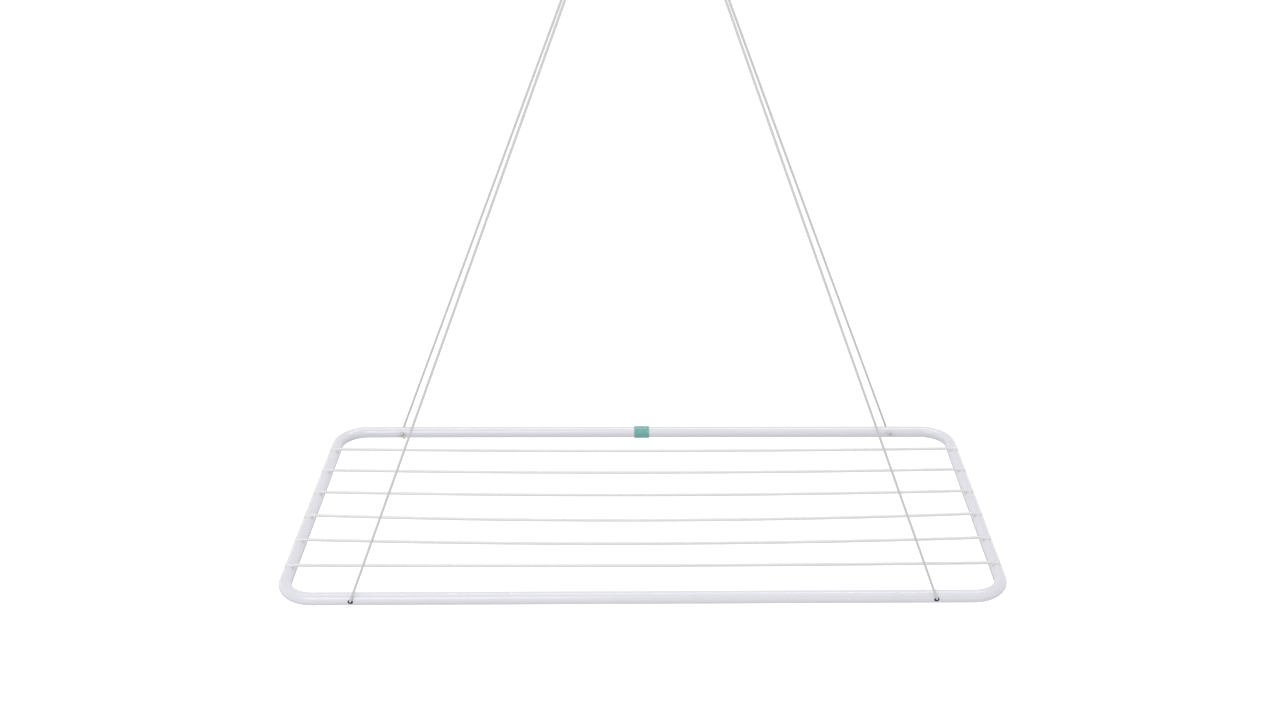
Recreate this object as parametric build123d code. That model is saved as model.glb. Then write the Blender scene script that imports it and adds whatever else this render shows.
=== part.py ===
from build123d import *
from math import atan, atan2, cos, degrees, hypot, pi, sin, sqrt
import os

# Ceiling mounted pulley rack, in millimetres. +Z is up, +X runs along the rack and -Y is its front.
# The origin is on the ceiling, straight above the middle of the rack, which hangs at its lowest.

# the hung frame: one bent tube
RACK_LENGTH = 914.0        # over the tube, along X
RACK_WIDTH = 457.0         # over the tube, along Y
TUBE_D = 16.0
TUBE_WALL = 1.0
CORNER_RADIUS = 40.0       # of the tube's centre line
END_GAP = 0.6              # between the tube's two ends, under the sleeve
JOINT_X = -6.5             # where the ends meet, a little to the left of the middle
SLEEVE_LENGTH = 21.5
SLEEVE_D = 17.8
SPIGOT_LENGTH = 60.0

# the drying wires, welded on top of the two short sides
WIRE_D = 4.0
WIRE_PITCH = 61.7
FIRST_WIRE = 62.0          # from the front tube's centre line to the first wire
WIRE_SAGS = (2.5, 8.0, 9.5, 6.0, 5.0, 3.5)  # mid-span, from the front wire to the back one
WIRE_SINK = 0.5            # how far a wire's end is sunk in its weld
WIRE_OVERHANG = 3.0        # of a wire's end past the side tube's centre line
WIRE_END = 20.0            # the straight stretch at each end of a wire

# the suspension cords
CORD_D = 3.0
HOLE_D = 6.5
HOLE_SPACING = 722.0
CORD_HEIGHT = 1.3          # of the cord above the hole's centre line
CORD_STANDOFF = 10.4       # from the tube's centre line out to the corner where the cord turns up
LOOP_BEND = 3.0
LOOP_RISE = 12.0           # from that corner up to the straight run
KNOT_RADIUS = 5.2
KNOT_GAP = 0.4             # between the tube and the knot's flattened side
TAIL_LENGTH = 9.0

# the ceiling unit
SUSPENSION_DROP = 940.0    # from the axle down to the tube's centre line
AXLE_DROP = 32.0           # from the ceiling down to the axle
CORD_PATH_RADIUS = 15.8    # of the cord's centre line round a sheave
GROOVE_RADIUS = 14.0
SHEAVE_RADIUS = 20.0
SHEAVE_WIDTH = 9.0
SHEAVE_PITCH = 10.0
BUSH_RADIUS = 5.0
AXLE_RADIUS = 3.0
AXLE_CLEARANCE = 0.05
FLEET_BEND = 30.0          # radius of the cord's sideways bend where it leaves its sheave
PLATE = (140.0, 64.0, 3.0)
PLATE_START = -36.0        # the plate's left edge
SCREW_SPACING = (112.0, 44.0)
SCREW_HOLE_D = 5.5
BRACKET_GAUGE = 2.0
CHEEK_RADIUS = 12.0
CHEEK_Y = 2 * SHEAVE_PITCH + 0.8  # a cheek's inner face
RIVET_RADIUS = 2.0
GUIDE_X = 66.0             # the comb that the cords leave through
GUIDE_SIZE = (8.0, 48.0, 22.0)

# the yoke that gathers the four cords
YOKE_X = 80.0
YOKE_SIZE = (54.0, 50.0, 12.0)
YOKE_BAR = 10.0            # the thickness that the cords pass through
YOKE_WINDOW = 18.0         # the window's length, behind the bar
YOKE_ARM = 4.5
YOKE_HOLE_D = 3.8
EYE_RADIUS = 10.0
EYE_HOLE_D = 9.0
LIFT = 640.0               # the rack's travel, from its lowest to just under the ceiling unit

RACK_Z = -AXLE_DROP - SUSPENSION_DROP
HALF_LENGTH = (RACK_LENGTH - TUBE_D) / 2
HALF_WIDTH = (RACK_WIDTH - TUBE_D) / 2
CORD_LINE_Z = -AXLE_DROP + CORD_PATH_RADIUS

# each cord's name, its sides along X and Y, and its sheave's place on the axle
CORDS = (
    ("front_left", -1, -1, -1.5 * SHEAVE_PITCH),
    ("front_right", 1, -1, -0.5 * SHEAVE_PITCH),
    ("back_right", 1, 1, 0.5 * SHEAVE_PITCH),
    ("back_left", -1, 1, 1.5 * SHEAVE_PITCH),
)


def tangent_to_sheave(x, z, axle_x):
    """The unit direction in XZ from (x, z) up to the sheave's left side, and the distance to it."""
    across, up = axle_x - x, -AXLE_DROP - z
    reach = hypot(across, up)
    turn = atan2(up, across) + atan(CORD_PATH_RADIUS / sqrt(reach**2 - CORD_PATH_RADIUS**2))
    return cos(turn), sin(turn), sqrt(reach**2 - CORD_PATH_RADIUS**2)


def axle_place():
    """The axle's X, which puts the meeting point of the cords' lines above the middle of the rack."""
    axle_x = CORD_PATH_RADIUS
    for _ in range(20):
        lines = []
        for side in (-1, 1):
            ux, uz, _ = tangent_to_sheave(side * HOLE_SPACING / 2, RACK_Z + CORD_HEIGHT, axle_x)
            lines.append((side * HOLE_SPACING / 2, ux / uz))
        (left_x, left_slope), (right_x, right_slope) = lines
        rise = (right_x - left_x) / (left_slope - right_slope)
        axle_x -= left_x + left_slope * rise
    return axle_x


AXLE_X = axle_place()


def along_y(radius, length, x, y, z):
    """A cylinder along Y, centred on the point."""
    return Pos(x, y, z) * Rot(90, 0, 0) * Cylinder(radius, length)


def ring_along_y(outer, inner, length, x, y, z):
    return along_y(outer, length, x, y, z) - along_y(inner, length + 1, x, y, z)


def tube_along(path, radius):
    """A round solid rod along a path."""
    return sweep(Plane(origin=path @ 0, z_dir=path % 0) * Circle(radius), path=path)


def frame_path():
    """The bent tube's centre line, from one end at the back's joint, round to the other."""
    gap, x, y = END_GAP / 2, HALF_LENGTH, HALF_WIDTH
    outline = FilletPolyline(
        (JOINT_X + gap, y), (x, y), (x, -y), (-x, -y), (-x, y), (JOINT_X - gap, y), radius=CORNER_RADIUS
    )
    return Pos(0, 0, RACK_Z) * outline


def frame_tube():
    path = frame_path()
    solid = tube_along(path, TUBE_D / 2) - tube_along(path, TUBE_D / 2 - TUBE_WALL)
    for _, side_x, side_y, _ in CORDS:
        place = (side_x * HOLE_SPACING / 2, side_y * HALF_WIDTH, RACK_Z)
        solid -= along_y(HOLE_D / 2, 2 * TUBE_D, *place)
    return solid


def rod_along_x(outer, inner, length):
    solid = Rot(0, 90, 0) * Cylinder(outer, length)
    if inner:
        solid -= Rot(0, 90, 0) * Cylinder(inner, length + 1)
    return Pos(JOINT_X, HALF_WIDTH, RACK_Z) * solid


def joint_sleeve():
    """The soft coloured sleeve over the tube's two ends, with a thin raised bead round each end."""
    bead = rod_along_x(SLEEVE_D / 2 + 0.25, TUBE_D / 2 + 0.05, 1.6)
    ends = Pos(SLEEVE_LENGTH / 2 - 0.8, 0, 0) * bead + Pos(0.8 - SLEEVE_LENGTH / 2, 0, 0) * bead
    return rod_along_x(SLEEVE_D / 2, TUBE_D / 2 + 0.05, SLEEVE_LENGTH) + ends


def joint_spigot():
    """The plug inside the tube that joins its two ends."""
    inside = TUBE_D / 2 - TUBE_WALL - 0.05
    return rod_along_x(inside, inside - 1.5, SPIGOT_LENGTH)


def drying_wire(index):
    """A wire that sags a little between its two straight ends, which are welded on the side tubes."""
    y = -HALF_WIDTH + FIRST_WIRE + index * WIRE_PITCH
    reach = HALF_LENGTH + WIRE_OVERHANG
    end_z = RACK_Z + (TUBE_D + WIRE_D) / 2 - WIRE_SINK
    arc = reach - WIRE_END
    lean, slope = 0.0, 0.0
    for _ in range(10):
        # the slope at which a straight end runs smoothly into the arc, for this sag
        lean = WIRE_SAGS[index] / (arc + 2 * WIRE_END / (1 - lean**2))
        slope = 2 * lean / (1 - lean**2)
    low_z = end_z - WIRE_END * slope
    left = Line((-reach, y, end_z), (-arc, y, low_z))
    middle = ThreePointArc((-arc, y, low_z), (0, y, end_z - WIRE_SAGS[index]), (arc, y, low_z))
    right = Line((arc, y, low_z), (reach, y, end_z))
    wire = tube_along(Wire([left, middle, right]), WIRE_D / 2)
    for side in (-1, 1):
        wire -= along_y(TUBE_D / 2, 20, side * HALF_LENGTH, y, RACK_Z)
    return wire


def cord_geometry(side_x, side_y, sheave_y):
    """One cord's places: its corner at the frame, its straight run, and its touch on the sheave."""
    corner = Vector(
        side_x * HOLE_SPACING / 2, side_y * (HALF_WIDTH + CORD_STANDOFF), RACK_Z + CORD_HEIGHT
    )
    ux, uz, reach = tangent_to_sheave(corner.X, corner.Z, AXLE_X)
    sideways = side_y * (corner.Y - sheave_y)
    # the bend turns the cord out of its sheave's plane, by the fleet angle
    fleet = 0.0
    for _ in range(30):
        straight = reach - FLEET_BEND * sin(fleet)
        fleet = atan2(sideways - FLEET_BEND * (1 - cos(fleet)), straight)
    run = Vector(ux * cos(fleet), -side_y * sin(fleet), uz * cos(fleet))
    length = (reach - FLEET_BEND * sin(fleet)) / cos(fleet)
    return {
        "corner": corner,
        "foot": corner + run * LOOP_RISE,
        "head": corner + run * length,
        "touch": Vector(corner.X + ux * reach, sheave_y, corner.Z + uz * reach),
        "in_plane": Vector(ux, 0, uz),
        "fleet": fleet,
        "run_length": length - LOOP_RISE,
    }


def cord_loop(side_y, cord):
    """The cord through the frame's hole: out of the knot, across the tube and up round the outer wall."""
    inside = Vector(cord["corner"].X, side_y * (HALF_WIDTH - TUBE_D / 2 - KNOT_GAP), cord["corner"].Z)
    path = FilletPolyline(inside, cord["corner"], cord["foot"], radius=LOOP_BEND)
    return tube_along(path, CORD_D / 2)


def cord_knot(side_x, side_y, cord):
    """The overhand knot inside the frame, flattened where it bears on the tube, with its short tail."""
    face_y = HALF_WIDTH - TUBE_D / 2 - KNOT_GAP
    centre = Vector(cord["corner"].X, side_y * (face_y - 3.8), cord["corner"].Z)
    tail_angle = 25 * side_x
    tail = Pos(*centre) * Rot(side_y * -62, 0, tail_angle) * Pos(0, 0, -TAIL_LENGTH / 2 - 2)
    solid = Pos(*centre) * Sphere(KNOT_RADIUS) + tail * Cylinder(CORD_D / 2, TAIL_LENGTH)
    clear = Pos(centre.X, side_y * (face_y + 10), centre.Z) * Box(40, 20, 40)
    return solid - clear


def cord_run(cord):
    """The straight, loaded stretch from the frame up to the ceiling unit."""
    return tube_along(Line(cord["foot"], cord["head"]), CORD_D / 2)


def cord_top(side_y, sheave_y, cord):
    """The cord from its run, over its sheave and out to the yoke's far side."""
    touch, half = cord["touch"], cord["fleet"] / 2
    aside = Vector(0, side_y * FLEET_BEND * (1 - cos(half)), 0)
    bend = ThreePointArc(cord["head"], touch - cord["in_plane"] * FLEET_BEND * sin(half) + aside, touch)
    angle = atan2(touch.Z + AXLE_DROP, touch.X - AXLE_X)
    mid_angle = (angle % (2 * pi) + pi / 2) / 2

    def on_sheave(turn):
        return Vector(
            AXLE_X + CORD_PATH_RADIUS * cos(turn), sheave_y, -AXLE_DROP + CORD_PATH_RADIUS * sin(turn)
        )

    over = ThreePointArc(touch, on_sheave(mid_angle), on_sheave(pi / 2))
    out = Line(on_sheave(pi / 2), (YOKE_X - 1.0, sheave_y, CORD_LINE_Z))
    return tube_along(Wire([bend, over, out]), CORD_D / 2)


def cord_end(sheave_y):
    """The cord through the yoke, up to its stopper knot."""
    far = YOKE_X + YOKE_BAR + KNOT_GAP
    return tube_along(Line((YOKE_X - 1.0, sheave_y, CORD_LINE_Z), (far, sheave_y, CORD_LINE_Z)), CORD_D / 2)


def stopper_knot(sheave_y):
    far = YOKE_X + YOKE_BAR + KNOT_GAP
    ball = Pos(far + 2.9, sheave_y, CORD_LINE_Z) * Sphere(3.9)
    tail = Pos(far + 8, sheave_y, CORD_LINE_Z) * Rot(0, 90, 0) * Cylinder(CORD_D / 2, 8)
    return ball + tail - Pos(far - 10, sheave_y, CORD_LINE_Z) * Box(20, 12, 12)


def sheave(sheave_y):
    """A grooved wheel. Its flared groove lets the cord leave it at the fleet angle."""
    half, tip = SHEAVE_WIDTH / 2, 0.8
    floor = CORD_D / 2 + 0.1
    with BuildPart() as wheel:
        with BuildSketch(Plane.XZ):
            with BuildLine():
                Polyline(
                    (BUSH_RADIUS, -half), (11.0, -half), (12.0, 0.7 - half), (14.6, 0.7 - half),
                    (15.6, -half), (SHEAVE_RADIUS, -half), (SHEAVE_RADIUS, tip - half),
                    (GROOVE_RADIUS + 0.55, -floor),
                )
                RadiusArc((GROOVE_RADIUS + 0.55, -floor), (GROOVE_RADIUS + 0.55, floor), 2.6)
                Polyline(
                    (GROOVE_RADIUS + 0.55, floor), (SHEAVE_RADIUS, half - tip), (SHEAVE_RADIUS, half),
                    (15.6, half), (14.6, half - 0.7), (12.0, half - 0.7), (11.0, half),
                    (BUSH_RADIUS, half), (BUSH_RADIUS, -half),
                )
            make_face()
        revolve(axis=Axis.Z)
    return Pos(AXLE_X, sheave_y, -AXLE_DROP) * Rot(90, 0, 0) * wheel.part


def sheave_bush(sheave_y):
    place = (AXLE_X, sheave_y, -AXLE_DROP)
    return ring_along_y(BUSH_RADIUS, AXLE_RADIUS + AXLE_CLEARANCE, SHEAVE_WIDTH + 0.3, *place)


def ceiling_plate():
    length, width, gauge = PLATE
    solid = Pos(PLATE_START + length / 2, 0, -gauge / 2) * Box(length, width, gauge)
    solid = fillet(solid.edges().filter_by(Axis.Z), 9)
    solid = chamfer(solid.faces().sort_by(Axis.Z)[0].edges(), 0.6)
    for x in (-1, 1):
        for y in (-1, 1):
            centre = (PLATE_START + length / 2 + x * SCREW_SPACING[0] / 2, y * SCREW_SPACING[1] / 2)
            solid -= Pos(*centre, -gauge / 2) * Cylinder(SCREW_HOLE_D / 2, gauge + 1)
    for x, y in rivet_places():
        solid -= Pos(x, y, -gauge / 2) * Cylinder(RIVET_RADIUS, gauge + 1)
    return solid


def rivet_places():
    return [(AXLE_X + side * 18.0, y) for side in (-1, 1) for y in (-11.0, 11.0)]


def sheave_bracket():
    """A folded steel channel: a web on the plate and two cheeks that hold the axle."""
    top = -PLATE[2]
    web_length, outer = 52.0, CHEEK_Y + BRACKET_GAUGE
    solid = Pos(AXLE_X, 0, top - BRACKET_GAUGE / 2) * Box(web_length, 2 * outer, BRACKET_GAUGE)
    for side in (-1, 1):
        cheek = Pos(AXLE_X, 0, 0) * make_cheek(web_length, top)
        solid += Pos(0, side * (CHEEK_Y + BRACKET_GAUGE / 2), 0) * cheek
    folds = solid.edges().filter_by(Axis.X).filter_by(
        lambda e: abs(e.center().Z - top) < 0.01 and abs(abs(e.center().Y) - outer) < 0.01
    )
    solid = fillet(folds, BRACKET_GAUGE * 0.9)
    solid -= along_y(AXLE_RADIUS + 0.02, 4 * outer, AXLE_X, 0, -AXLE_DROP)
    for x, y in rivet_places():
        solid -= Pos(x, y, top - 1) * Cylinder(RIVET_RADIUS, 4)
    return solid


def make_cheek(web_length, top):
    """A cheek in the XZ plane, wide at the web and narrowing to a round end about the axle."""
    with BuildPart() as cheek:
        with BuildSketch(Plane.XZ):
            with BuildLine():
                wide, shoulder = web_length / 2, top - 7.0
                left, right = (-CHEEK_RADIUS, -AXLE_DROP), (CHEEK_RADIUS, -AXLE_DROP)
                Polyline(left, (-wide, shoulder), (-wide, top), (wide, top), (wide, shoulder), right)
                RadiusArc(right, left, CHEEK_RADIUS)
            make_face()
        extrude(amount=BRACKET_GAUGE / 2, both=True)
    return cheek.part


def rivet(x, y):
    """A rivet through the web and the plate, its domed head below."""
    head_z = -PLATE[2] - BRACKET_GAUGE
    shank = Pos(x, y, head_z / 2 - 0.1) * Cylinder(RIVET_RADIUS, -head_z - 0.2)
    dome = Pos(x, y, head_z + 1.8) * Sphere(4.0)
    below = Pos(x, y, head_z - 2) * Box(12, 12, 4)
    return shank + (dome & below)


def axle_pin():
    """The pin through both cheeks, headed at the front and grooved for its clip at the back."""
    outer = CHEEK_Y + BRACKET_GAUGE
    front, back = -outer - 2.5, outer + 4.0
    pin = along_y(AXLE_RADIUS, back - front, AXLE_X, (front + back) / 2, -AXLE_DROP)
    pin += along_y(5.5, 2.4, AXLE_X, front + 1.2, -AXLE_DROP)
    groove = outer + 0.9
    pin -= ring_along_y(AXLE_RADIUS + 1, 2.2, 0.9, AXLE_X, groove + 0.45, -AXLE_DROP)
    return chamfer(pin.edges().sort_by(Axis.Y)[-1], 0.5)


def retaining_clip():
    """The open clip that snaps into the pin's groove."""
    groove = CHEEK_Y + BRACKET_GAUGE + 0.9
    clip = ring_along_y(5.6, 2.25, 0.7, AXLE_X, groove + 0.45, -AXLE_DROP)
    slot = Pos(AXLE_X, groove + 0.45, -AXLE_DROP - 4) * Box(3.6, 2, 8)
    return clip - slot


def spacer_washers():
    """Thin washers on the axle, between the sheaves and beside the two cheeks."""
    places = [(0.5, side * SHEAVE_PITCH) for side in (-1, 0, 1)]
    places += [(0.9, side * (CHEEK_Y - 0.55)) for side in (-1, 1)]
    bore = AXLE_RADIUS + AXLE_CLEARANCE
    rings = [ring_along_y(6.5, bore, gauge, AXLE_X, y, -AXLE_DROP) for gauge, y in places]
    return Compound(children=rings)


def cord_guide():
    """A comb under the plate that keeps the four cords apart, and the stop that the yoke rests on."""
    length, width, height = GUIDE_SIZE
    top = -PLATE[2]
    solid = Pos(GUIDE_X + length / 2, 0, top - height / 2) * Box(length, width, height)
    solid = fillet(solid.edges().filter_by(Axis.X).group_by(Axis.Z)[0], 5)
    for _, _, _, y in CORDS:
        hole = Pos(GUIDE_X + length / 2, y, CORD_LINE_Z) * Rot(0, 90, 0) * Cylinder(2.6, length + 1)
        solid -= hole
    mouths = solid.edges().filter_by(GeomType.CIRCLE).filter_by(lambda e: abs(e.radius - 2.6) < 0.01)
    return fillet(mouths, 1.2)


def pull_yoke():
    """The yoke: a bar with the cords' holes, a window for their knots and an eye to pull on."""
    length, half, height = YOKE_SIZE[0], YOKE_SIZE[1] / 2, YOKE_SIZE[2]
    nose = YOKE_X + length - EYE_RADIUS
    arm = YOKE_X + YOKE_BAR + YOKE_WINDOW
    window_half = half - YOKE_ARM
    outline = Polyline(
        (YOKE_X, -half), (arm, -half), (nose, -EYE_RADIUS),
        (nose, EYE_RADIUS), (arm, half), (YOKE_X, half), close=True,
    )
    plate = make_face(outline) + Pos(nose, 0) * Circle(EYE_RADIUS)
    window = Pos(YOKE_X + YOKE_BAR + YOKE_WINDOW / 2, 0) * RectangleRounded(YOKE_WINDOW, 2 * window_half, 4)
    profile = plate - window - Pos(nose, 0) * Circle(EYE_HOLE_D / 2)
    body = Pos(0, 0, CORD_LINE_Z - height / 2) * extrude(profile, height)
    faces = body.faces().filter_by(Axis.Z)
    body = chamfer(faces.edges(), 0.8)
    for _, _, _, y in CORDS:
        body -= Pos(YOKE_X, y, CORD_LINE_Z) * Rot(0, 90, 0) * Cylinder(YOKE_HOLE_D / 2, 2 * YOKE_BAR + 4)
    return body


def pull_for_lift():
    """The mean length of cord drawn in, for each unit that the rack is raised."""
    drawn = []
    for _, side_x, side_y, sheave_y in CORDS:
        across = side_x * HOLE_SPACING / 2 - (AXLE_X - CORD_PATH_RADIUS)
        along = side_y * (HALF_WIDTH + CORD_STANDOFF) - sheave_y
        lengths = [hypot(across, along, SUSPENSION_DROP - lift) for lift in (0, LIFT)]
        drawn.append(lengths[0] - lengths[1])
    return sum(drawn) / len(drawn) / LIFT


os.makedirs("parts", exist_ok=True)
nodes = {
    "ceiling_plate": ceiling_plate(),
    "sheave_bracket": sheave_bracket(),
    "bracket_rivets": Compound(children=[rivet(x, y) for x, y in rivet_places()]),
    "axle_pin": axle_pin(),
    "retaining_clip": retaining_clip(),
    "spacer_washers": spacer_washers(),
    "cord_guide": cord_guide(),
    "pull_yoke": pull_yoke(),
    "joint_sleeve": joint_sleeve(),
    "joint_spigot": joint_spigot(),
    "frame_tube": frame_tube(),
}
for index in range(len(WIRE_SAGS)):
    nodes[f"drying_wire_{index + 1}"] = drying_wire(index)
for name, side_x, side_y, sheave_y in CORDS:
    cord = cord_geometry(side_x, side_y, sheave_y)
    nodes[f"sheave_{name}"] = sheave(sheave_y)
    nodes[f"bush_{name}"] = sheave_bush(sheave_y)
    nodes[f"cord_loop_{name}"] = cord_loop(side_y, cord)
    nodes[f"cord_knot_{name}"] = cord_knot(side_x, side_y, cord)
    nodes[f"cord_run_{name}"] = cord_run(cord)
    nodes[f"cord_top_{name}"] = cord_top(side_y, sheave_y, cord)
    nodes[f"cord_end_{name}"] = cord_end(sheave_y)
    nodes[f"stopper_knot_{name}"] = stopper_knot(sheave_y)
    print(name, "run", round(cord["run_length"], 1), "fleet angle", round(degrees(cord["fleet"]), 1))
pull = pull_for_lift()
print("pull per lift", round(pull, 4), "sheave radians per metre", round(1000 * pull / CORD_PATH_RADIUS, 3))
for name, solid in nodes.items():
    export_step(solid, f"parts/{name}.step")
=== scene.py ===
import math
import random

import bmesh
import bpy
import numpy as np
from mathutils import Matrix, Vector


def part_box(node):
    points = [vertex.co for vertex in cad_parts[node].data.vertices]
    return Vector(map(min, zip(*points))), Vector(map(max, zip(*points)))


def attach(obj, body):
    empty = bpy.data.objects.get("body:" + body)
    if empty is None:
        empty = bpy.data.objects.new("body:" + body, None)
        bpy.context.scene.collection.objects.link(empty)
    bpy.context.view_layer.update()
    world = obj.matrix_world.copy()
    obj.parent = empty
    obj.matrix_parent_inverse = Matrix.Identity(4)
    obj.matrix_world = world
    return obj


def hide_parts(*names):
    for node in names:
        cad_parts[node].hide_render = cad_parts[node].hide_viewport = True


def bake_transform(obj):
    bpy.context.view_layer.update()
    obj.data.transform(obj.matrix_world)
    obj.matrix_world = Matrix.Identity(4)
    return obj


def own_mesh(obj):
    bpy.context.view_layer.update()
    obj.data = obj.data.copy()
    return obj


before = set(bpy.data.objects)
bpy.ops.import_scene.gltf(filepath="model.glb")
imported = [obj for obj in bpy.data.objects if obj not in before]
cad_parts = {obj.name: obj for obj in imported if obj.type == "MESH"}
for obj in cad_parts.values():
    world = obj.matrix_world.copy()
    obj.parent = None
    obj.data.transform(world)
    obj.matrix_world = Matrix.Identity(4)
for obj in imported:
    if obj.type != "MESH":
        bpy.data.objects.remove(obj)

# Ceiling mounted pulley rack. Metres, in the CAD frame: X to the right, Y to the back, Z up, and
# the origin on the ceiling above the rack's middle.

random.seed(7)
MM = 0.001
UP = Vector((0, 0, 1))
QUARTER = math.pi / 2
TURN = 2 * math.pi


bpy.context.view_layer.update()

# ------------------------------------------------------------------------------------ places
tube_low, tube_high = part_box("frame_tube")
RACK_Z = (tube_low.z + tube_high.z) / 2
TUBE_R = (tube_high.z - tube_low.z) / 2
TUBE_WALL = 1.0 * MM
HALF_X = tube_high.x - TUBE_R          # from the middle to the side tubes' centre lines
HALF_Y = tube_high.y - TUBE_R
CORNER_R = 40 * MM
END_GAP = 0.3 * MM                     # half of the gap between the tube's two ends
JOINT_X = sum(corner.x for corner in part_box("joint_sleeve")) / 2
HOLE_X = 361 * MM
HOLE_R = 3.25 * MM
LIP_R = 0.35 * MM                      # of the coat's rounding at each hole's edge
WIRE_R = 2.0 * MM
WIRE_END = 20 * MM                     # a wire's straight stretch at each end
WIRE_OVERHANG = 3 * MM                 # of a wire's end past the side tube's centre line
WIRE_SINK = 0.5 * MM                   # of a wire's end in its weld
WIRE_CENTRE_Z = RACK_Z + TUBE_R + WIRE_R - WIRE_SINK
CORD_R = 1.5 * MM
YOKE_START = 79 * MM                   # where each cord passes from the ceiling unit to the yoke
STOPPER_X = 90.4 * MM


# ------------------------------------------------------------------------------------ camera
CAMERA_PLACE = Vector((3.8, -1856.6, 114.2)) * MM
CAMERA_TURNS = (-2.07, 24.97, 0.91)    # yaw to the left, pitch down and roll, in degrees
CAMERA_LENS = 44.156
CAMERA_SHIFT = -0.0469


def add_camera():
    yaw, pitch, roll = (math.radians(a) for a in CAMERA_TURNS)
    right = Vector((math.cos(yaw), math.sin(yaw), 0))
    level = Vector((-math.sin(yaw), math.cos(yaw), 0))
    ahead = level * math.cos(pitch) - UP * math.sin(pitch)
    above = right.cross(ahead)
    across = right * math.cos(roll) + above * math.sin(roll)
    above = above * math.cos(roll) - right * math.sin(roll)
    matrix = Matrix((across, above, -ahead)).transposed().to_4x4()
    matrix.translation = CAMERA_PLACE
    camera = bpy.data.objects.new("camera", bpy.data.cameras.new("camera"))
    camera.data.sensor_width = 36
    camera.data.lens = CAMERA_LENS
    camera.data.shift_x = CAMERA_SHIFT
    camera.data.clip_start, camera.data.clip_end = 0.05, 200
    camera.matrix_world = matrix
    bpy.context.scene.collection.objects.link(camera)
    bpy.context.scene.camera = camera


add_camera()


# --------------------------------------------------------------------------------- materials
class Nodes:
    """A new material's node tree, with short ways to add what the materials here share."""

    def __init__(self, name):
        self.material = bpy.data.materials.new(name)
        self.material.use_nodes = True
        self.tree = self.material.node_tree
        self.shader = self.tree.nodes["Principled BSDF"]

    def add(self, kind, **sockets):
        node = self.tree.nodes.new(kind)
        for name, value in sockets.items():
            node.inputs[name.replace("_", " ")].default_value = value
        return node

    def link(self, start, end):
        self.tree.links.new(start, end)

    def coordinates(self, output="Object", scale=(1, 1, 1)):
        place = self.add("ShaderNodeTexCoord")
        mapping = self.add("ShaderNodeMapping", Scale=scale)
        self.link(place.outputs[output], mapping.inputs["Vector"])
        return mapping.outputs["Vector"]

    def noise(self, scale, detail=3.0, roughness=0.5, stretch=(1, 1, 1), output="Object"):
        node = self.add("ShaderNodeTexNoise", Scale=scale, Detail=detail, Roughness=roughness)
        self.link(self.coordinates(output, stretch), node.inputs["Vector"])
        return node.outputs["Fac"]

    def spread(self, value, low, high, start=0.3, end=0.7):
        """value from start to end, spread over low to high."""
        node = self.add(
            "ShaderNodeMapRange", From_Min=start, From_Max=end, To_Min=low, To_Max=high
        )
        self.link(value, node.inputs["Value"])
        return node.outputs["Result"]

    def mix(self, value, first, second):
        """The colour from first to second by value."""
        node = self.add("ShaderNodeMix")
        node.data_type = "RGBA"
        sockets = {socket.identifier: socket for socket in node.inputs}
        sockets["A_Color"].default_value = (*first, 1)
        sockets["B_Color"].default_value = (*second, 1)
        self.link(value, sockets["Factor_Float"])
        return [o for o in node.outputs if o.identifier == "Result_Color"][0]

    def sum(self, first, second):
        node = self.add("ShaderNodeMath")
        for socket, value in zip(node.inputs, (first, second)):
            self.link(value, socket)
        return node.outputs[0]

    def bump(self, *heights):
        """heights: (value, strength, distance in metres), from the coarsest to the finest."""
        normal = None
        for value, strength, distance in heights:
            node = self.add("ShaderNodeBump", Strength=strength, Distance=distance)
            self.link(value, node.inputs["Height"])
            if normal:
                self.link(normal, node.inputs["Normal"])
            normal = node.outputs["Normal"]
        self.link(normal, self.shader.inputs["Normal"])

    def set(self, **sockets):
        """Set or link the shader's sockets, and return the material."""
        for name, value in sockets.items():
            socket = self.shader.inputs[name.replace("_", " ")]
            if isinstance(value, (int, float, tuple)):
                socket.default_value = (*value, 1) if socket.type == "RGBA" else value
            else:
                self.link(value, socket)
        return self.material


def powder_coat(name, dark, light, roughness, gloss_coat=0.0):
    """Glossy powder coat: a faint orange peel, fine grain and slightly uneven gloss."""
    n = Nodes(name)
    peel = n.noise(420, detail=2.0)
    grain = n.noise(1900, detail=2.0)
    cloud = n.noise(9, detail=4.0, roughness=0.6)
    n.bump((peel, 0.35, 0.00012), (grain, 0.25, 0.00003))
    gloss = n.sum(n.spread(cloud, -0.04, 0.04), n.spread(peel, roughness - 0.02, roughness + 0.03))
    return n.set(
        Base_Color=n.mix(cloud, dark, light), Roughness=gloss, Specular_IOR_Level=0.5,
        Coat_Weight=gloss_coat, Coat_Roughness=0.06,
    )


def teal_sleeve_material():
    n = Nodes("teal_sleeve")
    cloud = n.noise(60, detail=4.0)
    scuff = n.noise(900, detail=3.0, stretch=(0.12, 1, 1))
    n.bump((cloud, 0.2, 0.0002), (scuff, 0.25, 0.00003))
    return n.set(
        Base_Color=n.mix(cloud, (0.13, 0.375, 0.345), (0.155, 0.42, 0.385)),
        Roughness=n.spread(scuff, 0.12, 0.2), Specular_IOR_Level=0.6,
        Subsurface_Weight=0.12, Subsurface_Radius=(0.002, 0.004, 0.004), Subsurface_Scale=0.5,
        Coat_Weight=0.8, Coat_Roughness=0.08,
    )


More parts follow.
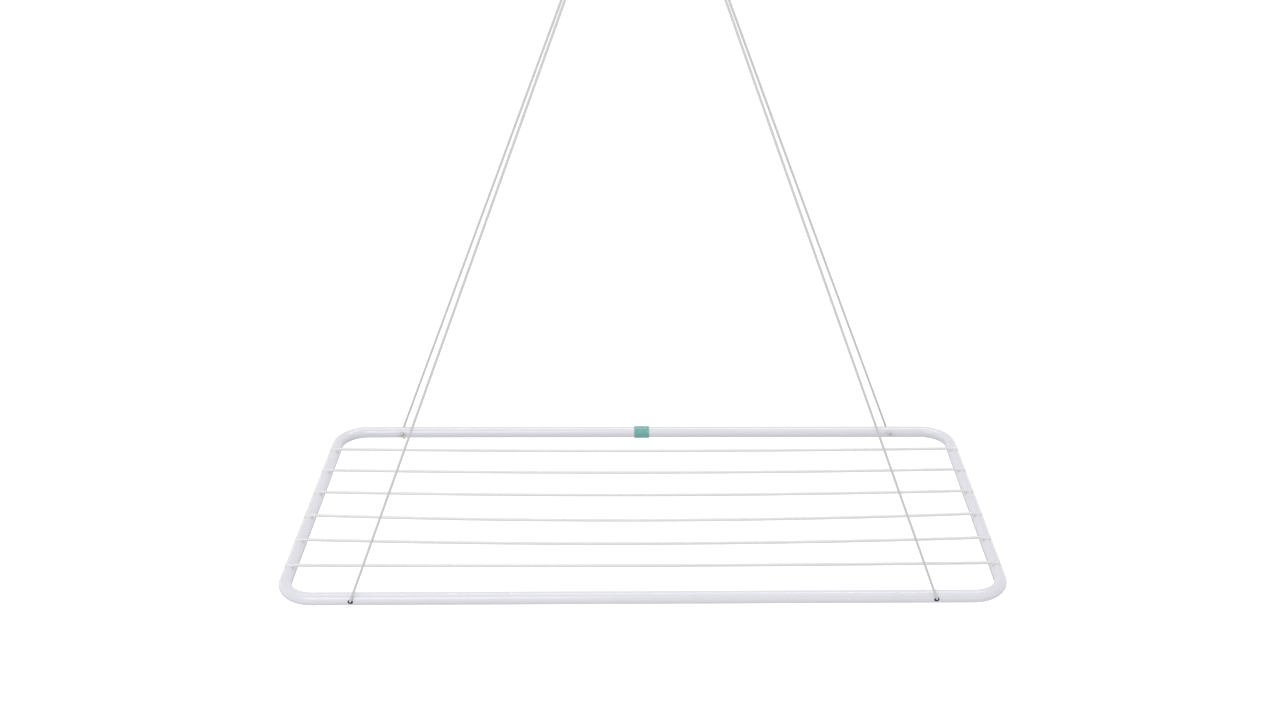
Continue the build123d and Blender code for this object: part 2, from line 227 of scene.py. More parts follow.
def cord_material():
    """Braided polyester. The plaits are in the mesh, and their yarns are in the bump. The colour
    runs dark down into the creases between the plaits, read from the mesh's relief: painted shade.
    """
    n = Nodes("braided_cord")
    relief = n.add("ShaderNodeAttribute")
    relief.attribute_name = "relief"
    height = relief.outputs["Fac"]
    yarn = n.noise(1.0, detail=3.0, stretch=(16000, 5200, 1), output="UV")
    fuzz = n.noise(2600, detail=4.0, roughness=0.7)
    soil = n.noise(14, detail=4.0, roughness=0.6)
    # Painted shade: darker in the creases between the plaits, with a little yarn tone on top.
    crease_shade_and_yarn_tone = n.sum(n.spread(height, 0.0, 0.86, 0.0, 1.0), n.spread(yarn, 0.0, 0.14))
    n.bump((yarn, 0.5, 0.00008), (fuzz, 0.3, 0.00004))
    # The darker colour is the painted crease shade; the lighter one is the cord's own white.
    tint_with_painted_crease_shade = n.mix(crease_shade_and_yarn_tone, (0.43, 0.432, 0.435), (0.745, 0.747, 0.747))
    return n.set(
        Base_Color=tint_with_painted_crease_shade, Roughness=n.spread(soil, 0.72, 0.86), Specular_IOR_Level=0.3,
        Sheen_Weight=0.2, Sheen_Roughness=0.4,
    )


def zinc_material():
    n = Nodes("zinc_plate")
    spangle = n.noise(240, detail=5.0, roughness=0.65)
    scratch = n.noise(2400, detail=2.0, stretch=(1, 0.1, 1))
    n.bump((spangle, 0.15, 0.00005), (scratch, 0.2, 0.00002))
    return n.set(
        Base_Color=n.mix(spangle, (0.43, 0.44, 0.46), (0.6, 0.61, 0.62)), Metallic=1.0,
        Roughness=n.spread(scratch, 0.36, 0.52),
    )


def spring_steel_material():
    n = Nodes("phosphated_spring_steel")
    grain = n.noise(1800, detail=5.0, roughness=0.7)
    n.bump((grain, 0.4, 0.00003))
    return n.set(
        Base_Color=n.mix(grain, (0.09, 0.09, 0.1), (0.2, 0.2, 0.21)), Metallic=0.85,
        Roughness=n.spread(grain, 0.42, 0.6),
    )


def plain_steel_material():
    n = Nodes("plain_steel")
    drawn = n.noise(1500, detail=3.0, stretch=(0.05, 1, 1))
    n.bump((drawn, 0.3, 0.00003))
    return n.set(
        Base_Color=n.mix(drawn, (0.42, 0.42, 0.43), (0.6, 0.6, 0.61)), Metallic=1.0,
        Roughness=n.spread(drawn, 0.3, 0.5),
    )


def bore_painted_shade_material():
    """The tube's inside, which the coat doesn't reach: bare steel, coloured near black as painted
    shade for the dark inside of the tube.
    """
    n = Nodes("bore_painted_shade")
    scale = n.noise(700, detail=5.0, roughness=0.7)
    n.bump((scale, 0.5, 0.00006))
    # Near black: the bare steel's tone, darkened as painted shade inside the tube.
    return n.set(
        Base_Color=n.mix(scale, (0.012, 0.012, 0.014), (0.035, 0.033, 0.032)),
        Roughness=n.spread(scale, 0.55, 0.8), Specular_IOR_Level=0.3,
    )


def nylon_material():
    n = Nodes("white_nylon")
    flow = n.noise(70, detail=4.0, roughness=0.6)
    grain = n.noise(2600, detail=3.0)
    n.bump((flow, 0.2, 0.0001), (grain, 0.3, 0.00003))
    return n.set(
        Base_Color=n.mix(flow, (0.78, 0.78, 0.76), (0.84, 0.84, 0.82)),
        Roughness=n.spread(grain, 0.38, 0.5), Specular_IOR_Level=0.45,
        Subsurface_Weight=0.15, Subsurface_Radius=(0.003, 0.003, 0.0025), Subsurface_Scale=0.4,
    )


def brass_material():
    """Turned brass: fine rings about the axle."""
    n = Nodes("turned_brass")
    turned = n.noise(3200, detail=2.0, stretch=(0.3, 1, 0.3))
    tarnish = n.noise(180, detail=4.0, roughness=0.6)
    n.bump((turned, 0.4, 0.00003))
    return n.set(
        Base_Color=n.mix(tarnish, (0.56, 0.4, 0.17), (0.74, 0.57, 0.29)), Metallic=1.0,
        Roughness=n.spread(turned, 0.24, 0.42),
    )


MATERIALS = {
    "white_coat": powder_coat(
        "white_coat", (0.7, 0.7, 0.755), (0.735, 0.735, 0.78), 0.2, gloss_coat=0.6
    ),
    "wire_coat": powder_coat("wire_coat", (0.72, 0.72, 0.725), (0.765, 0.765, 0.77), 0.27),
    "coated_steel": powder_coat("coated_steel", (0.76, 0.76, 0.79), (0.81, 0.81, 0.83), 0.38),
    "teal_plastic": teal_sleeve_material(),
    "cord": cord_material(),
    "zinc_steel": zinc_material(),
    "spring_steel": spring_steel_material(),
    "inner_steel": plain_steel_material(),
    "white_nylon": nylon_material(),
    "brass": brass_material(),
}


# ------------------------------------------------------------------------------- mesh makers
def add_piece(name, points, faces, slot, body=None, replaces=(), sharp=None):
    """A smooth-shaded mesh piece. sharp: the angle in degrees past which an edge stays hard."""
    mesh = bpy.data.meshes.new(name)
    mesh.from_pydata([tuple(p) for p in points], [], [tuple(f) for f in faces])
    mesh.polygons.foreach_set("use_smooth", np.ones(len(mesh.polygons), bool))
    work = bmesh.new()
    work.from_mesh(mesh)
    bmesh.ops.recalc_face_normals(work, faces=work.faces)
    work.to_mesh(mesh)
    work.free()
    if sharp:
        mesh.set_sharp_from_angle(angle=math.radians(sharp))
    mesh.materials.append(MATERIALS[slot])
    piece = bpy.data.objects.new(name, mesh)
    bpy.context.scene.collection.objects.link(piece)
    if body:
        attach(piece, body)
    for node in replaces:
        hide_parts(node)
    return piece


def frames_along(line):
    """Two cross axes at each point, turned as little as possible from one to the next."""
    tangents = np.gradient(line, axis=0)
    tangents /= np.linalg.norm(tangents, axis=1)[:, None]
    first = np.cross(tangents[0], (0.0, 0.0, 1.0))
    if np.linalg.norm(first) < 0.1:
        first = np.cross(tangents[0], (0.0, 1.0, 0.0))
    sides = np.empty_like(line)
    sides[0] = first / np.linalg.norm(first)
    for i in range(1, len(line)):
        side = sides[i - 1] - tangents[i] * (sides[i - 1] @ tangents[i])
        sides[i] = side / np.linalg.norm(side)
    return sides, np.cross(tangents, sides)


def tube_faces(rings, segments):
    """Quads between rings, and one face over each end."""
    a = np.arange(rings - 1)[:, None] * segments + np.arange(segments)
    b = np.arange(rings - 1)[:, None] * segments + (np.arange(segments) + 1) % segments
    quads = np.stack([a, b, b + segments, a + segments], axis=-1).reshape(-1, 4).tolist()
    last = (rings - 1) * segments
    return quads + [list(range(segments))[::-1], list(range(last, last + segments))]


def swept(line, radii, segments):
    """Rings about a line. radii: a row for each ring, of one radius or one for each point."""
    sides, others = frames_along(line)
    turn = (np.arange(segments) * 2 * np.pi / segments)[None, :, None]
    circle = sides[:, None] * np.cos(turn) + others[:, None] * np.sin(turn)
    radii = np.broadcast_to(radii, (len(line), segments))
    return line[:, None] + circle * radii[..., None]


# --------------------------------------------------------------------------------- the tube
TUBE_SEGMENTS = 64
STATION_PITCH = 12 * MM                # along the straights, away from the holes
BEND_STEPS = 20
HOLE_CELLS = 12                        # along the tube, in the patch that is cut out for a hole
HOLE_CELL = 1.0 * MM
HOLE_REACH = 8                         # of that patch to each side, in segments


def tube_stations():
    """(centre, outward) along the bent tube's centre line, and where each hole's stretch starts."""
    stations, holes = [], []
    arc = HALF_X - CORNER_R, HALF_Y - CORNER_R

    def straight(start, end, outward, hole_places):
        """Stations from start up to, but not including, end, close together by the holes."""
        length, ahead = (end - start).length, (end - start).normalized()
        marks = sorted((place - start).dot(ahead) for place in hole_places)
        at = 0.0
        for mark in marks + [None]:
            goal = length if mark is None else mark - HOLE_CELLS / 2 * HOLE_CELL
            steps = max(1, round((goal - at) / STATION_PITCH))
            for i in range(steps):
                stations.append((start + ahead * (at + (goal - at) * i / steps), outward))
            at = goal
            if mark is not None:
                holes.append(len(stations))
                for i in range(HOLE_CELLS):
                    stations.append((start + ahead * (at + i * HOLE_CELL), outward))
                at = mark + HOLE_CELLS / 2 * HOLE_CELL

    def bend(centre, first_angle):
        for i in range(BEND_STEPS):
            angle = first_angle - QUARTER * i / BEND_STEPS
            outward = Vector((math.cos(angle), math.sin(angle), 0))
            stations.append((centre + outward * CORNER_R, outward))

    def at(x, y):
        return Vector((x, y, RACK_Z))

    back, front = Vector((0, 1, 0)), Vector((0, -1, 0))
    front_holes = [at(HOLE_X, -HALF_Y), at(-HOLE_X, -HALF_Y)]
    straight(at(JOINT_X + END_GAP, HALF_Y), at(arc[0], HALF_Y), back, [at(HOLE_X, HALF_Y)])
    bend(at(arc[0], arc[1]), QUARTER)
    straight(at(HALF_X, arc[1]), at(HALF_X, -arc[1]), Vector((1, 0, 0)), [])
    bend(at(arc[0], -arc[1]), 0)
    straight(at(arc[0], -HALF_Y), at(-arc[0], -HALF_Y), front, front_holes)
    bend(at(-arc[0], -arc[1]), -QUARTER)
    straight(at(-HALF_X, -arc[1]), at(-HALF_X, arc[1]), Vector((-1, 0, 0)), [])
    bend(at(-arc[0], arc[1]), math.pi)
    straight(at(-arc[0], HALF_Y), at(JOINT_X - END_GAP, HALF_Y), back, [at(-HOLE_X, HALF_Y)])
    stations.append((at(JOINT_X - END_GAP, HALF_Y), back))
    return stations, holes


def band(first, second):
    """Quads between two closed rings of points."""
    following = list(range(1, len(first))) + [0]
    return [(first[k], first[n], second[n], second[k]) for k, n in enumerate(following)]


def patch_edge(cells, reach):
    """The (station, segment) steps round the patch that is cut out for a hole."""
    edge = [(i, -reach) for i in range(cells)]
    edge += [(cells, j) for j in range(-reach, reach)]
    edge += [(i, reach) for i in range(cells, 0, -1)]
    edge += [(0, j) for j in range(reach, -reach, -1)]
    return edge


def frame_tube():
    """The bent tube, with a wall, and cord holes whose edges are rounded by the coat."""
    stations, holes = tube_stations()
    points, faces = [], []

    def on_skin(centre, outward, radius, turn):
        return centre + outward * radius * math.cos(turn) + UP * radius * math.sin(turn)

    def skin(radius, rim):
        """One surface of the tube, open at the holes: its first point, and each opening's rim."""
        base = len(points)
        for centre, outward in stations:
            for j in range(TUBE_SEGMENTS):
                points.append(on_skin(centre, outward, radius, TURN * j / TUBE_SEGMENTS))
        gone = set()
        for first in holes:
            for i in range(first, first + HOLE_CELLS):
                for middle in (0, TUBE_SEGMENTS // 2):
                    steps = range(-HOLE_REACH, HOLE_REACH)
                    gone |= {(i, (middle + j) % TUBE_SEGMENTS) for j in steps}
        for i in range(len(stations) - 1):
            for j in range(TUBE_SEGMENTS):
                if (i, j) not in gone:
                    a = base + i * TUBE_SEGMENTS + j
                    b = base + i * TUBE_SEGMENTS + (j + 1) % TUBE_SEGMENTS
                    faces.append((a, b, b + TUBE_SEGMENTS, a + TUBE_SEGMENTS))
        rims = []
        edge = patch_edge(HOLE_CELLS, HOLE_REACH)
        for first in holes:
            centre, outward = stations[first + HOLE_CELLS // 2]
            step = stations[first + 1][0] - stations[first][0]
            along, pitch = step.normalized(), step.length
            for middle, sign in ((0, 1), (TUBE_SEGMENTS // 2, -1)):
                ring = [
                    base + (first + i) * TUBE_SEGMENTS + (middle + j) % TUBE_SEGMENTS
                    for i, j in edge
                ]
                flat = [
                    ((i - HOLE_CELLS / 2) * pitch, TURN * (middle + j) / TUBE_SEGMENTS)
                    for i, j in edge
                ]
                angles = [math.atan2(radius * math.sin(turn), x) for x, turn in flat]
                for share in (0.25, 0.5, 0.75, 1.0):
                    new = []
                    for (x, turn), angle in zip(flat, angles):
                        rise = math.asin(rim * math.sin(angle) / radius)
                        goal = rise if sign > 0 else math.pi - rise
                        x = x * (1 - share) + rim * math.cos(angle) * share
                        turn = turn * (1 - share) + goal * share
                        new.append(len(points))
                        points.append(on_skin(centre + along * x, outward, radius, turn))
                    faces.extend(band(ring, new))
                    ring = new
                rims.append((ring, angles, centre, along, outward * sign))
        return base, rims

    inner_r = TUBE_R - TUBE_WALL
    outer_base, outer_rims = skin(TUBE_R, HOLE_R + LIP_R)
    bare_start = len(faces)
    inner_base, inner_rims = skin(inner_r, HOLE_R)
    bare_end = len(faces)
    for (ring, angles, centre, along, side), (inner_ring, *_) in zip(outer_rims, inner_rims):
        for step in (1, 2, 3):
            a = QUARTER * step / 3
            radius, depth = HOLE_R + LIP_R * (1 - math.sin(a)), LIP_R * (1 - math.cos(a))
            new = []
            for angle in angles:
                rise = radius * math.sin(angle)
                out = math.sqrt((TUBE_R - depth) ** 2 - rise**2)
                new.append(len(points))
                points.append(centre + along * radius * math.cos(angle) + side * out + UP * rise)
            faces.extend(band(ring, new))
            ring = new
        faces.extend(band(ring, inner_ring))
    for start in (0, (len(stations) - 1) * TUBE_SEGMENTS):
        outer = [outer_base + start + j for j in range(TUBE_SEGMENTS)]
        inner = [inner_base + start + j for j in range(TUBE_SEGMENTS)]
        faces.extend(band(outer, inner))
    tube = add_piece("bent_tube", points, faces, "white_coat", "rack", ["frame_tube"], sharp=50)
    # The inside gets the near-black bore material, painted shade inside the tube.
    tube.data.materials.append(bore_painted_shade_material())
    bare = np.zeros(len(tube.data.polygons), np.int32)
    bare[bare_start:bare_end] = 1
    tube.data.polygons.foreach_set("material_index", bare)


# -------------------------------------------------------------------------------- the sleeve
def revolved(profile, centre, segments, ridge):
    """A closed profile of (x, radius), turned about X, with a mould line top and bottom."""
    points, faces = [], []
    mould_line = segments // 4, 3 * segments // 4
    for j in range(segments):
        turn = TURN * j / segments
        for x, radius in profile:
            grown = radius + (ridge if j in mould_line else 0.0)
            points.append(centre + Vector((x, grown * math.cos(turn), grown * math.sin(turn))))
    count = len(profile)
    for j in range(segments):
        start, following = j * count, ((j + 1) % segments) * count
        faces.extend(band(range(start, start + count), range(following, following + count)))
    return points, faces


def rounded(points, radius, steps=4):
    """A closed outline with each corner rounded."""
    out = []
    for i, point in enumerate(points):
        before, after = points[i - 1], points[(i + 1) % len(points)]
        p, a, b = (np.array(v, float) for v in (point, before, after))
        to_a, to_b = (a - p), (b - p)
        cut = min(radius, 0.45 * np.linalg.norm(to_a), 0.45 * np.linalg.norm(to_b))
        start = p + to_a / np.linalg.norm(to_a) * cut
        end = p + to_b / np.linalg.norm(to_b) * cut
        for k in range(steps + 1):
            t = k / steps
            out.append(tuple((1 - t) ** 2 * start + 2 * t * (1 - t) * p + t * t * end))
    return out


def joint_sleeve():
    low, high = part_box("joint_sleeve")
    centre = (low + high) / 2
    half, bead_r = (high.x - low.x) / 2, (high.z - low.z) / 2
    body_r, bore, bead, slope = bead_r - 0.25 * MM, TUBE_R + 0.03 * MM, 1.6 * MM, 0.5 * MM
    crown_x, crown_r = half * 0.45, body_r + 0.04 * MM
    outline = [
        (-half, bore), (half, bore), (half, bead_r), (half - bead, bead_r),
        (half - bead - slope, body_r), (crown_x, crown_r), (-crown_x, crown_r),
        (bead + slope - half, body_r), (bead - half, bead_r), (-half, bead_r),
    ]
    points, faces = revolved(rounded(outline, 0.45 * MM), centre, 96, ridge=0.03 * MM)
    node = "joint_sleeve"
    add_piece("teal_sleeve", points, faces, "teal_plastic", "rack", [node], sharp=60)


# --------------------------------------------------------------------------------- the wires
WIRE_SEGMENTS = 24
WIRE_STEPS = 84                        # from a wire's middle to its end
# Centres and half sizes, in mm, of the lumps that melt together with a stub of the wire into a
# weld at the right side. The origin is on the side tube's crown.
WELD_LUMPS = (
    ((0.9, 0, 0.2), (4.1, 3.3, 1.9)),
    ((-3.2, 0, 0.0), (4.7, 2.8, 1.5)),
    ((1.5, 0, 1.4), (2.7, 2.15, 2.0)),
)
STUB_RADII = (1.95 * MM, 1.97 * MM)
STUB_LENGTH = 11.5 * MM
STUB_PLACE = (-4.0 * MM, 0, WIRE_R - WIRE_SINK)
VOXEL = 0.3 * MM


def weld_template():
    """The points and faces of a wire's end run into the side tube's crown, at the right side."""
    work = bmesh.new()
    for centre, size in WELD_LUMPS:
        made = bmesh.ops.create_uvsphere(work, u_segments=32, v_segments=20, radius=1.0)
        scale = Matrix.Diagonal((*(Vector(size) * MM), 1))
        place = Matrix.Translation(Vector(centre) * MM)
        bmesh.ops.transform(work, matrix=place @ scale, verts=made["verts"])
    stub = bmesh.ops.create_cone(
        work, cap_ends=True, segments=32, radius1=STUB_RADII[0], radius2=STUB_RADII[1],
        depth=STUB_LENGTH
    )
    place = Matrix.Translation(STUB_PLACE) @ Matrix.Rotation(QUARTER, 4, "Y")
    bmesh.ops.transform(work, matrix=place, verts=stub["verts"])
    mesh = bpy.data.meshes.new("weld")
    work.to_mesh(mesh)
    work.free()
    rough = bpy.data.objects.new("weld", mesh)
    bpy.context.scene.collection.objects.link(rough)
    remesh = rough.modifiers.new("remesh", "REMESH")
    remesh.mode, remesh.voxel_size = "VOXEL", VOXEL
    smooth = rough.modifiers.new("smooth", "SMOOTH")
    smooth.factor, smooth.iterations = 0.5, 9
    bpy.context.view_layer.update()
    evaluated = rough.evaluated_get(bpy.context.evaluated_depsgraph_get()).to_mesh()
    points = [v.co.copy() for v in evaluated.vertices]
    faces = [tuple(p.vertices) for p in evaluated.polygons]
    bpy.data.objects.remove(rough)
    bpy.data.meshes.remove(mesh)
    buried = 0.25 * MM
    for p in points:
        if abs(p.x) < TUBE_R * 0.98:
            p.z = max(p.z, math.sqrt(TUBE_R**2 - p.x**2) - TUBE_R - buried)
    return points, faces


def drying_wire(index, weld):
    """A wire that sags between straight ends, with a weld at each end. No two are alike."""
    low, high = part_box(f"drying_wire_{index}")
    y, reach = (low.y + high.y) / 2, HALF_X + WIRE_OVERHANG
    sag = WIRE_CENTRE_Z - (low.z + WIRE_R)
    arc = reach - WIRE_END
    lean, slope = 0.0, 0.0
    for _ in range(10):
        lean = sag / (arc + 2 * WIRE_END / (1 - lean**2))
        slope = 2 * lean / (1 - lean**2)
    half_turn = math.atan(slope)
    radius = arc / math.sin(half_turn)
    line, radii = [], []
    for i in range(-WIRE_STEPS, WIRE_STEPS + 1):
        x = reach * i / WIRE_STEPS
        if abs(x) > arc:
            z = WIRE_CENTRE_Z - (reach - abs(x)) * slope
        else:
            z = WIRE_CENTRE_Z - sag + radius - math.sqrt(radius**2 - x**2)
        line.append((x, y, z))
        radii.append(WIRE_R)
    line = np.array(line)
    radii[0] = radii[-1] = WIRE_R * 0.55
    points = swept(line, np.array(radii)[:, None], WIRE_SEGMENTS).reshape(-1, 3).tolist()
    faces = tube_faces(len(line), WIRE_SEGMENTS)
    for side in (-1, 1):
        start = len(points)
        length, width, height = (
            random.uniform(0.93, 1.08), random.uniform(0.92, 1.1), random.uniform(0.96, 1.05)
        )
        shift = random.uniform(-0.4, 0.5) * MM
        for p in weld[0]:
            x, z = p.x * length + shift, p.z * height if p.z > 0 else p.z
            if p.z > 0.2 * MM or x < -TUBE_R:
                z -= slope * max(0.0, WIRE_OVERHANG - x)
            points.append((side * (HALF_X + x), y + p.y * width, RACK_Z + TUBE_R + z))
        faces.extend(tuple(start + k for k in f) for f in weld[1])
    node = f"drying_wire_{index}"
    add_piece(f"welded_wire_{index}", points, faces, "wire_coat", "rack", [node])


# --------------------------------------------------------------------------------- the cords
# Each cord's route in millimetres, for the front pair: out through the tube, up the run, over the
# sheave, through the guide and the yoke. It starts at the hole's inner end, and it ends where the
# cord comes out of the yoke.
LEFT_ROUTE = (
    (-361.0, -212.1, -970.5), (-361.0, -220.0, -970.4), (-361.0, -226.4, -970.4),
    (-361.0, -230.2, -970.4), (-359.2, -229.9, -966.1), (-356.8, -228.4, -959.7),
    (-350.5, -224.6, -943.3), (-262.5, -172.6, -714.6), (-176.9, -120.5, -491.7),
    (-96.4, -73.0, -282.4), (-6.4, -19.4, -48.7), (1.04, -15.0, -29.3), (3.94, -15.0, -21.75),
    (12.02, -15.0, -16.2), (21.83, -15.0, -16.2), (48.0, -15.0, -16.2), (79.0, -15.0, -16.2),
    (90.4, -15.0, -16.2),
)
RIGHT_ROUTE = (
    (361.0, -212.1, -970.5), (361.0, -220.0, -970.4), (361.0, -226.4, -970.4),
    (361.0, -230.2, -970.4), (359.25, -229.8, -966.1), (356.8, -228.2, -959.8),
    (350.5, -224.3, -943.4), (276.3, -176.9, -750.9), (181.4, -118.6, -504.6),
    (96.2, -62.4, -281.9), (10.9, -9.8, -60.5), (3.39, -5.0, -40.81), (0.29, -5.0, -32.74),
    (3.2, -5.0, -22.56), (11.64, -5.0, -16.2), (22.2, -5.0, -16.2), (48.0, -5.0, -16.2),
    (79.0, -5.0, -16.2), (90.4, -5.0, -16.2),
)
# name, route, side along Y, heights in mm of the run's foot and head, and the lengths in metres of
# the run and of the top
CORDS = (
    ("front_left", LEFT_ROUTE, -1, (-959.748, -32.19), 1.016, 0.087),
    ("front_right", RIGHT_ROUTE, -1, (-959.777, -43.863), 1.006, 0.099),
    ("back_right", RIGHT_ROUTE, 1, (-959.777, -43.863), 1.006, 0.099),
    ("back_left", LEFT_ROUTE, 1, (-959.748, -32.19), 1.016, 0.087),
)
KNOTS = {
    # roll about the hole's line in degrees, drop below the cord's line, how far the tail reaches
    # along that line, and how it leans: along the knot's own up, and across that
    "front_left": (-82, 4.7, 2.0, 6.0, -0.8),
    "front_right": (-101, 4.6, 2.6, 5.4, -0.4),
    "back_right": (-72, -1.4, 2.4, 4.6, 1.2),
    "back_left": (-112, -1.2, 2.8, 4.2, 0.8),
}
PLAITS = 8
LAY = 1.8 * MM                         # along the cord, from one plait to the next
RING_STEP = LAY / 4
CORD_SEGMENTS = 24
RACK_KNOT = (2.3, 1.5)                 # two radii, in mm
STOPPER = (1.95, 1.4)
STOPPER_ROLL = 12
STOPPER_LEAN = (-1.0, -0.4)
STOPPER_TAIL = 5.5
MELTED = 1.8 * MM                      # of each end, sealed by heat
DOME = 0.9 * MM                        # of each end, rounded off


def overhand(hole, inward, roll, drop, radii, lean, tail):
    """Route points of a small overhand knot on the cord that comes out of a hole, and its tail.

    hole, inward: where the cord comes out, and which level way. radii: of the trefoil and of its
    lobes. All in millimetres.
    """
    size, tube = radii
    up = Matrix.Rotation(math.radians(roll), 3, inward) @ UP
    across = inward.cross(up)
    middle = hole + inward * (size + tube + CORD_R / MM - 0.2) - UP * drop

    def at(x, y, z):
        return middle + up * x + inward * y + across * z

    points = [at(size + 0.1, -size - tube * 0.55, 0.15)]
    for k in range(17):
        turn = 0.42 + (2 * math.pi - 0.74) * k / 16
        radius = size + tube * math.cos(3 * turn)
        depth = 1.25 * tube * math.sin(3 * turn)
        points.append(at(radius * math.cos(2 * turn), radius * math.sin(2 * turn), depth))
    points.append(at(size + tube * 0.9, size * 0.6, -tube * 1.25))
    end = (size + tube * 0.8 + lean[0] * 0.5, size + tail * 0.5, -tube * 1.2 + lean[1] * 0.5)
    points.append(at(*end))
    points.append(at(end[0] + lean[0] * 0.5, end[1] + tail * 0.5, end[2] + lean[1] * 0.5))
    return points


def spline_points(route):
    """The route's smooth line, read from its NURBS spline at even steps, and the length so far."""
    curve = bpy.data.curves.new("route", "CURVE")
    curve.dimensions = "3D"
    curve.resolution_u = 24
    spline = curve.splines.new("NURBS")
    spline.points.add(len(route) - 1)
    for point, place in zip(spline.points, route):
        point.co = (*(Vector(place) * MM), 1)
    spline.order_u = 3
    spline.use_endpoint_u = True
    holder = bpy.data.objects.new("route", curve)
    mesh = bpy.data.meshes.new_from_object(holder)
    line = np.array([v.co for v in mesh.vertices], float)
    bpy.data.objects.remove(holder)
    bpy.data.curves.remove(curve)
    bpy.data.meshes.remove(mesh)
    along = np.concatenate([[0], np.cumsum(np.linalg.norm(np.diff(line, axis=0), axis=1))])
    steps = np.linspace(0, along[-1], round(along[-1] / RING_STEP) + 1)
    return np.stack([np.interp(steps, along, line[:, k]) for k in range(3)], axis=1), steps


def braid(steps):
    """The plaits' height, from 0 to 1, at each ring point."""
    turn = np.arange(CORD_SEGMENTS)[None] / CORD_SEGMENTS * PLAITS
    one, other = turn + steps[:, None] / LAY, turn - steps[:, None] / LAY
    over = (np.floor(one) + np.floor(other)) % 2
    a, b = np.abs(np.sin(np.pi * one)), np.abs(np.sin(np.pi * other))
    return np.where(over > 0, a**0.45 * b**0.9, a**0.9 * b**0.45)


def cord_piece(name, rings, heights, steps, part, body, node):
    """A stretch of a cord's mesh, with its plaits' height and a UV map round and along the cord."""
    rows = rings[part]
    points, faces = rows.reshape(-1, 3).tolist(), tube_faces(len(rows), CORD_SEGMENTS)
    piece = add_piece(name, points, faces, "cord", body, [node], sharp=75)
    mesh = piece.data
    relief = mesh.attributes.new("relief", "FLOAT", "POINT")
    relief.data.foreach_set("value", heights[part].astype(np.float32).ravel())
    index = np.empty(len(mesh.loops), int)
    mesh.loops.foreach_get("vertex_index", index)
    ring, segment = index // CORD_SEGMENTS, index % CORD_SEGMENTS
    starts = np.empty(len(mesh.polygons), int)
    mesh.polygons.foreach_get("loop_start", starts)
    sizes = np.empty(len(mesh.polygons), int)
    mesh.polygons.foreach_get("loop_total", sizes)
    has_first = np.maximum.reduceat(segment == 0, starts)
    has_last = np.maximum.reduceat(segment == CORD_SEGMENTS - 1, starts)
    wraps = np.repeat(has_first & has_last & (sizes == 4), sizes)
    turns = np.where(wraps & (segment == 0), CORD_SEGMENTS, segment) / CORD_SEGMENTS
    uv = np.stack([turns * 2 * np.pi * CORD_R, steps[part][ring]], axis=1)
    mesh.uv_layers.new(name="along_cord").data.foreach_set("uv", uv.astype(np.float32).ravel())
    return piece


def add_cord(name, route, side, levels, run_length, top_length):
    """One cord from its knot in the rack to its stopper in the yoke, in a stretch for each body."""
    route = [Vector((x, y * -side, z)) for x, y, z in route]
    roll, drop, tail, lean_up, lean_across = KNOTS[name]
    inward, lean = Vector((0, -side, 0)), (lean_up, lean_across)
    rack_knot = overhand(route[0], inward, roll, drop, RACK_KNOT, lean, tail)
    along_x, roll = Vector((1, 0, 0)), STOPPER_ROLL * side
    stopper = overhand(route[-1], along_x, roll, 0.0, STOPPER, STOPPER_LEAN, STOPPER_TAIL)
    line, steps = spline_points(rack_knot[::-1] + route + stopper)
    foot_z, head_z = (z * MM for z in levels)
    in_hole = int(np.argmax(np.abs(line[:, 1]) > abs(route[0].y) * MM))
    foot = int(np.argmax(line[:, 2] > foot_z))
    head = int(np.argmax(line[:, 2] > head_z))
    past_head = np.arange(len(line)) > head
    yoke = int(np.argmax((line[:, 0] > YOKE_START) & past_head))
    bar = int(np.argmax((line[:, 0] > STOPPER_X) & past_head))

    heights = braid(steps)
    ends = np.minimum(steps, steps[-1] - steps)[:, None]
    melted = np.clip(1 - ends / MELTED, 0, 1) ** 0.5
    heights = heights * (1 - melted) + 0.6 * melted
    radii = CORD_R * (0.95 + 0.09 * heights)
    dome = np.clip(ends / DOME, 0, 1)
    radii = radii * np.sqrt(np.maximum(1 - (1 - dome) ** 2, 0.03)) * (1 + 0.08 * melted)
    tightness = np.ones(len(line))
    tightness[:in_hole] = 0.97
    tightness[bar:] = 0.95
    rings = swept(line, radii * tightness[:, None], CORD_SEGMENTS)

    def stretch(kind, start, end, body, node):
        part = slice(start, end + 1)
        return cord_piece(f"{kind}_{name}", rings, heights, steps, part, body, f"{node}_{name}")

    knot = stretch("rack_knot", 0, in_hole, "rack", "cord_knot")
    loop = stretch("loop", in_hole, foot, "rack", "cord_loop")
    run = stretch("run", foot, head, "ceiling_unit", "cord_run")
    top = stretch("top", head, yoke, None, "cord_top")
    end = stretch("yoke_end", yoke, bar, "yoke", "cord_end")
    stopper_knot = stretch("stopper", bar, len(line) - 1, "yoke", "stopper_knot")
    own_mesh(run)
    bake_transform(top)


for cord in CORDS:
    add_cord(*cord)

frame_tube()
joint_sleeve()
weld = weld_template()
for index in range(1, 7):
    drying_wire(index, weld)

# ------------------------------------------------------------------- the ceiling unit's parts
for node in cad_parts.values():
    if not node.hide_render:
        slot = node.material_slots[0].material.name
        for entry in node.material_slots:
            entry.link = "OBJECT"
            entry.material = MATERIALS[slot]


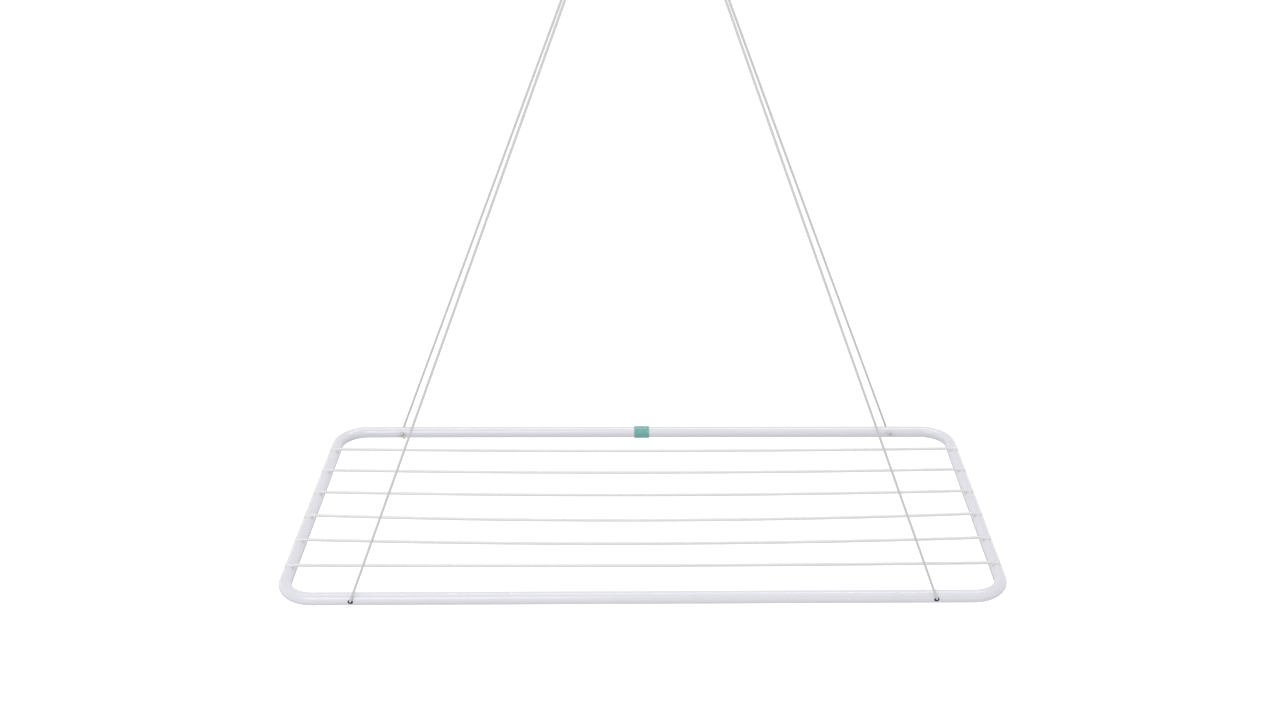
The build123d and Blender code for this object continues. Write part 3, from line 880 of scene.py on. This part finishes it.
# ---------------------------------------------------------------------- floor, light and world
def add_sheet(name, size, height, grey, glow=0.0):
    """A level matt sheet under the rack."""
    bpy.ops.mesh.primitive_plane_add(size=size, location=(0, 0, height))
    sheet = bpy.context.object
    sheet.name = name
    n = Nodes(name)
    n.set(Base_Color=grey, Roughness=0.9, Specular_IOR_Level=0.1)
    n.set(Emission_Color=(1.0, 1.0, 1.0), Emission_Strength=glow)
    sheet.data.materials.append(n.material)
    return sheet


def add_stage():
    """A white floor, and above it a grey card that only darkens the undersides of the rack."""
    floor = add_sheet("floor", 60, -2.4, (0.92, 0.92, 0.92), glow=0.4)
    card = add_sheet("shade_card", 3.4, -1.55, (0.62, 0.62, 0.64))
    card.visible_camera = False
    card.visible_shadow = False


def add_light(name, place, target, size, power):
    data = bpy.data.lights.new(name, "AREA")
    data.shape, data.size, data.size_y = "RECTANGLE", size[0], size[1]
    data.energy = power
    light = bpy.data.objects.new(name, data)
    light.location = place
    light.rotation_mode = "QUATERNION"
    light.rotation_quaternion = (Vector(target) - Vector(place)).to_track_quat("-Z", "Y")
    bpy.context.scene.collection.objects.link(light)


# name, place, what it is aimed at, size, and power in watts
LIGHTS = (
    ("key", (-1.2, -2.8, 1.0), (0, 0, -0.95), (2.2, 1.6), 28),
    ("top", (0.2, 0.6, 2.3), (0, 0, -0.9), (2.6, 2.6), 8),
    ("strip", (0.1, 0.8, 1.4), (0, 0.1, -0.95), (3.0, 0.3), 15),
)

add_stage()
for light in LIGHTS:
    add_light(*light)


def add_world():
    """An even white surround, a little brighter at the horizon than overhead."""
    world = bpy.data.worlds.new("studio")
    world.use_nodes = True
    tree = world.node_tree
    place = tree.nodes.new("ShaderNodeTexCoord")
    split = tree.nodes.new("ShaderNodeSeparateXYZ")
    spread = tree.nodes.new("ShaderNodeMapRange")
    ends = {"From Min": 0.05, "From Max": 0.6, "To Min": 1.0, "To Max": 0.66}
    for socket, number in ends.items():
        spread.inputs[socket].default_value = number
    tree.links.new(place.outputs["Generated"], split.inputs[0])
    tree.links.new(split.outputs["Z"], spread.inputs["Value"])
    background = tree.nodes["Background"]
    background.inputs["Color"].default_value = (1, 1, 1, 1)
    tree.links.new(spread.outputs["Result"], background.inputs["Strength"])
    bpy.context.scene.world = world


add_world()
bpy.context.scene.view_settings.view_transform = "Standard"
bpy.context.scene.view_settings.look = "None"
